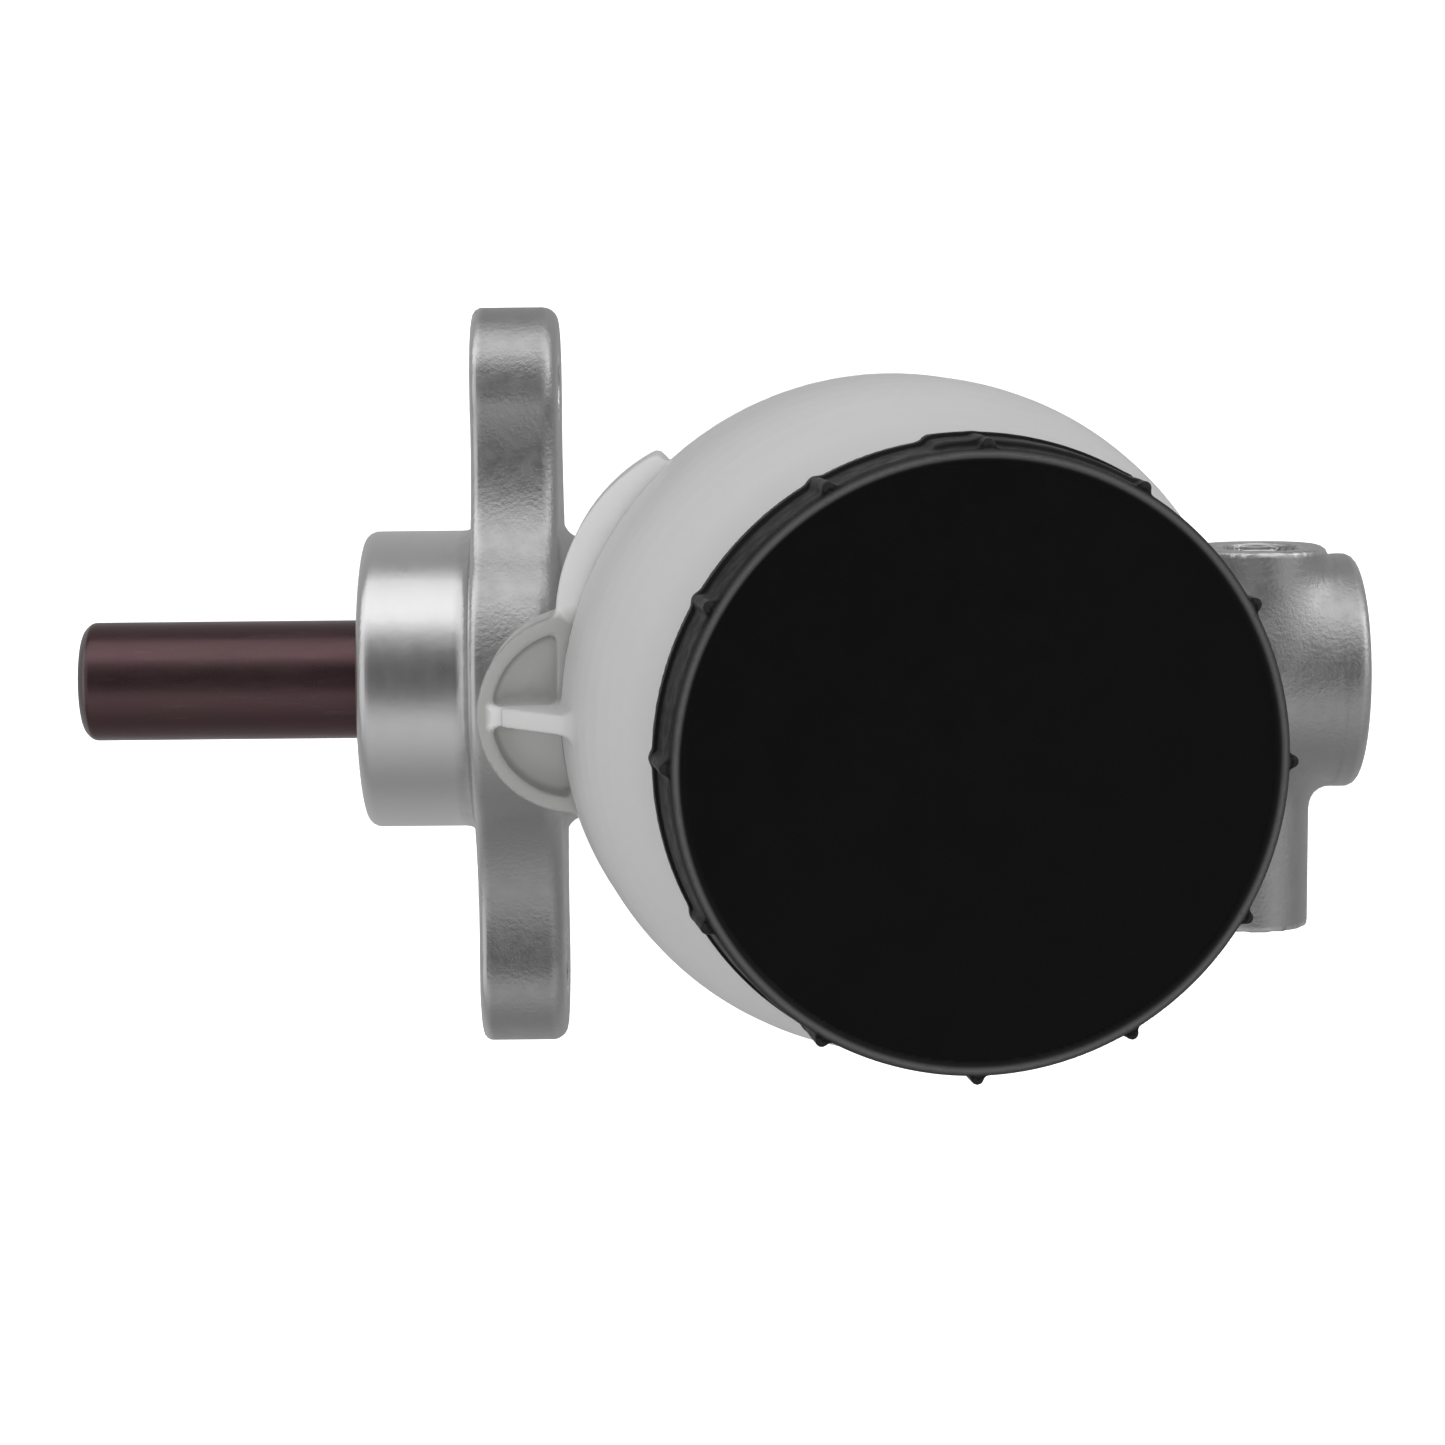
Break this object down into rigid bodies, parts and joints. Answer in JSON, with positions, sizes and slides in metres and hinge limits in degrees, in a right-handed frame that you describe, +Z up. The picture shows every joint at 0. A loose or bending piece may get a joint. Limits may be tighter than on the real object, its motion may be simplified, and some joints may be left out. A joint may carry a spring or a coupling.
{
  "type": "tandem brake master cylinder",
  "caption": "Tandem hydraulic brake master cylinder with a two-eared flange, brown piston rod, translucent reservoir and black ribbed screw cap.",
  "frame": {"origin": "on the bore axis, in the plane of the flange face that meets the brake booster", "axes": "+X along the bore towards the closed front end, +Z up towards the reservoir cap, +Y towards the short outlet boss"},
  "size_m": [0.1974, 0.1146, 0.1355],
  "materials": {
    "cast_aluminium": "as-cast with machined faces, satin",
    "anodised_aluminium": "hard anodised dark brown, satin",
    "plated_steel": "zinc plated, satin",
    "copper": "plain copper sealing washer",
    "white_nylon": "matt",
    "black_rubber": "matt",
    "milky_plastic": "translucent off-white, soft gloss",
    "black_plastic": "moulded black, satin"
  },
  "bodies": {
    "cylinder": {"cylinder_body": "cast_aluminium", "upper_outlet_seat": "plated_steel", "lower_outlet_seat": "plated_steel", "primary_outlet_seat": "plated_steel", "stop_bolt": "plated_steel", "stop_bolt_washer": "copper", "piston_guide": "white_nylon", "guide_seal": "black_rubber", "guide_o_ring": "black_rubber", "circlip": "plated_steel", "secondary_spring": "plated_steel", "reservoir_lower": "milky_plastic", "reservoir_upper": "milky_plastic", "grommet_rear": "black_rubber", "grommet_front": "black_rubber", "reservoir_pin": "plated_steel", "filler_strainer": "white_nylon"},
    "primary": {"primary_piston": "anodised_aluminium", "primary_rear_seal": "black_rubber", "primary_cup_washer": "plated_steel", "primary_cup": "black_rubber", "primary_spring_seat": "plated_steel", "primary_spring": "plated_steel", "spring_screw": "plated_steel"},
    "secondary": {"secondary_piston": "anodised_aluminium", "pressure_seal_rear": "black_rubber", "pressure_seal_front": "black_rubber", "secondary_cup_washer": "plated_steel", "secondary_cup": "black_rubber", "secondary_spring_seat": "plated_steel", "primary_spring_retainer": "plated_steel"},
    "gasket": {"cap_diaphragm": "black_rubber"},
    "cap": {"filler_cap": "black_plastic"}
  },
  "joints": [
    {"name": "primary_slide", "type": "slide", "parent": "cylinder", "child": "primary", "axis": [1, 0, 0], "range_m": [0, 0.024], "stiffness_N_per_m": 1200, "springref_m": -0.03, "deforming": ["primary_spring"]},
    {"name": "secondary_slide", "type": "slide", "parent": "cylinder", "child": "secondary", "axis": [1, 0, 0], "range_m": [0, 0.0121], "deforming": ["secondary_spring"]},
    {"name": "cap_lift", "type": "slide", "parent": "cylinder", "child": "gasket", "axis": [0.1392, 0, 0.9903], "range_m": [0, 0.016]},
    {"name": "cap_turn", "type": "hinge", "parent": "gasket", "child": "cap", "pos_m": [0.0566, 0, 0], "axis": [0.1392, 0, 0.9903], "range_deg": [0, 720]}
  ],
  "couplings": [
    {"joint": "secondary_slide", "follows": "primary_slide", "ratio": 0.5},
    {"joint": "cap_turn", "follows": "cap_lift", "rad_per_m": 785.4}
  ]
}
